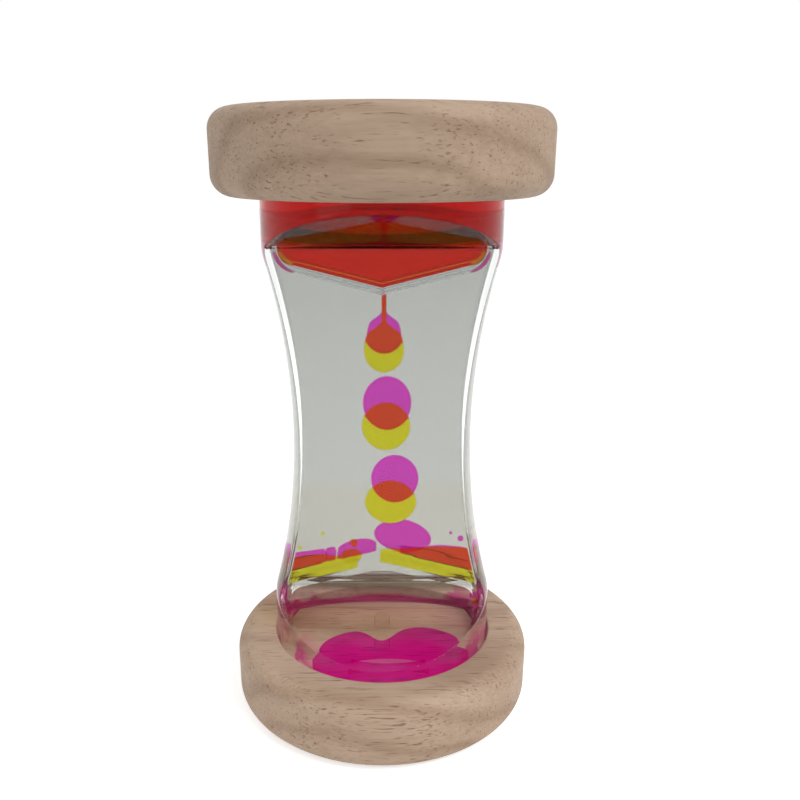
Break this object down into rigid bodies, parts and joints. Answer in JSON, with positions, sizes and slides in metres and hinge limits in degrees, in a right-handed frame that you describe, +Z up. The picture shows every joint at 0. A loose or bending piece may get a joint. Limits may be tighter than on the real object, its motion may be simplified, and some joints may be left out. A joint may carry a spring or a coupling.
{
  "type": "liquid motion timer",
  "caption": "Hourglass shaped liquid motion timer: clear body with a flat window each side between two wooden discs, coloured drops falling through clear oil.",
  "frame": {"origin": "centre of the lower disc's underside, on the surface it stands on", "axes": "+Z up along the discs' axis, -Y out of the front window, the window seen in the picture, +X to its right"},
  "size_m": [0.075, 0.075, 0.144],
  "materials": {
    "wood": "bare pale rubberwood, sanded smooth",
    "clear_plastic": "clear moulded acrylic, polished",
    "clear_oil": "clear mineral oil",
    "yellow_liquid": "see-through yellow dyed water",
    "magenta_liquid": "see-through magenta dyed water"
  },
  "bodies": {
    "timer": {"lower_wood_disc": "wood", "upper_wood_disc": "wood", "clear_body": "clear_plastic", "lower_end_cap": "clear_plastic", "upper_end_cap": "clear_plastic", "front_fill_plug": "clear_plastic", "back_fill_plug": "clear_plastic", "divider_plate": "clear_plastic", "upper_front_tray": "clear_plastic", "upper_back_tray": "clear_plastic", "lower_front_tray": "clear_plastic", "lower_back_tray": "clear_plastic", "yellow_store": "yellow_liquid", "magenta_store": "magenta_liquid", "yellow_left_pool": "yellow_liquid", "yellow_right_pool": "yellow_liquid", "small_yellow_drop": "yellow_liquid", "magenta_left_pool": "magenta_liquid", "magenta_strip_pool": "magenta_liquid", "magenta_blob_pool": "magenta_liquid", "magenta_right_pool": "magenta_liquid", "magenta_landed_drop": "magenta_liquid", "magenta_floor_pool": "magenta_liquid", "yellow_specks": "yellow_liquid", "magenta_specks": "magenta_liquid", "clear_oil_front": "clear_oil", "clear_oil_back": "clear_oil", "chamber_oil_front": "clear_oil", "chamber_oil_back": "clear_oil"},
    "yellow_drop_1": {"yellow_drop_1": "yellow_liquid"},
    "yellow_drop_2": {"yellow_drop_2": "yellow_liquid"},
    "yellow_drop_3": {"yellow_drop_3": "yellow_liquid"},
    "magenta_drop_1": {"magenta_drop_1": "magenta_liquid"},
    "magenta_drop_2": {"magenta_drop_2": "magenta_liquid"},
    "magenta_drop_3": {"magenta_drop_3": "magenta_liquid"},
    "yellow_bead": {"yellow_bead": "yellow_liquid"},
    "magenta_bead": {"magenta_bead": "magenta_liquid"}
  },
  "joints": [
    {"name": "yellow_fall_1", "type": "slide", "parent": "timer", "child": "yellow_drop_1", "axis": [0, 0, -1], "range_m": [0, 0.007]},
    {"name": "yellow_fall_2", "type": "slide", "parent": "timer", "child": "yellow_drop_2", "axis": [0, 0, -1], "range_m": [0, 0.007]},
    {"name": "yellow_fall_3", "type": "slide", "parent": "timer", "child": "yellow_drop_3", "axis": [0, 0, -1], "range_m": [0, 0.007]},
    {"name": "magenta_fall_1", "type": "slide", "parent": "timer", "child": "magenta_drop_1", "axis": [0, 0, -1], "range_m": [0, 0.005]},
    {"name": "magenta_fall_2", "type": "slide", "parent": "timer", "child": "magenta_drop_2", "axis": [0, 0, -1], "range_m": [0, 0.005]},
    {"name": "magenta_fall_3", "type": "slide", "parent": "timer", "child": "magenta_drop_3", "axis": [0, 0, -1], "range_m": [0, 0.005]},
    {"name": "yellow_bead_fall", "type": "slide", "parent": "timer", "child": "yellow_bead", "axis": [0, 0, -1], "range_m": [0, 0.0116]},
    {"name": "magenta_bead_fall", "type": "slide", "parent": "timer", "child": "magenta_bead", "axis": [0, 0, -1], "range_m": [0, 0.0108]}
  ],
  "couplings": [
    {"joint": "magenta_fall_1", "follows": "magenta_fall_3", "ratio": 1},
    {"joint": "magenta_fall_2", "follows": "magenta_fall_3", "ratio": 1},
    {"joint": "yellow_fall_1", "follows": "yellow_fall_3", "ratio": 1},
    {"joint": "yellow_fall_2", "follows": "yellow_fall_3", "ratio": 1}
  ]
}
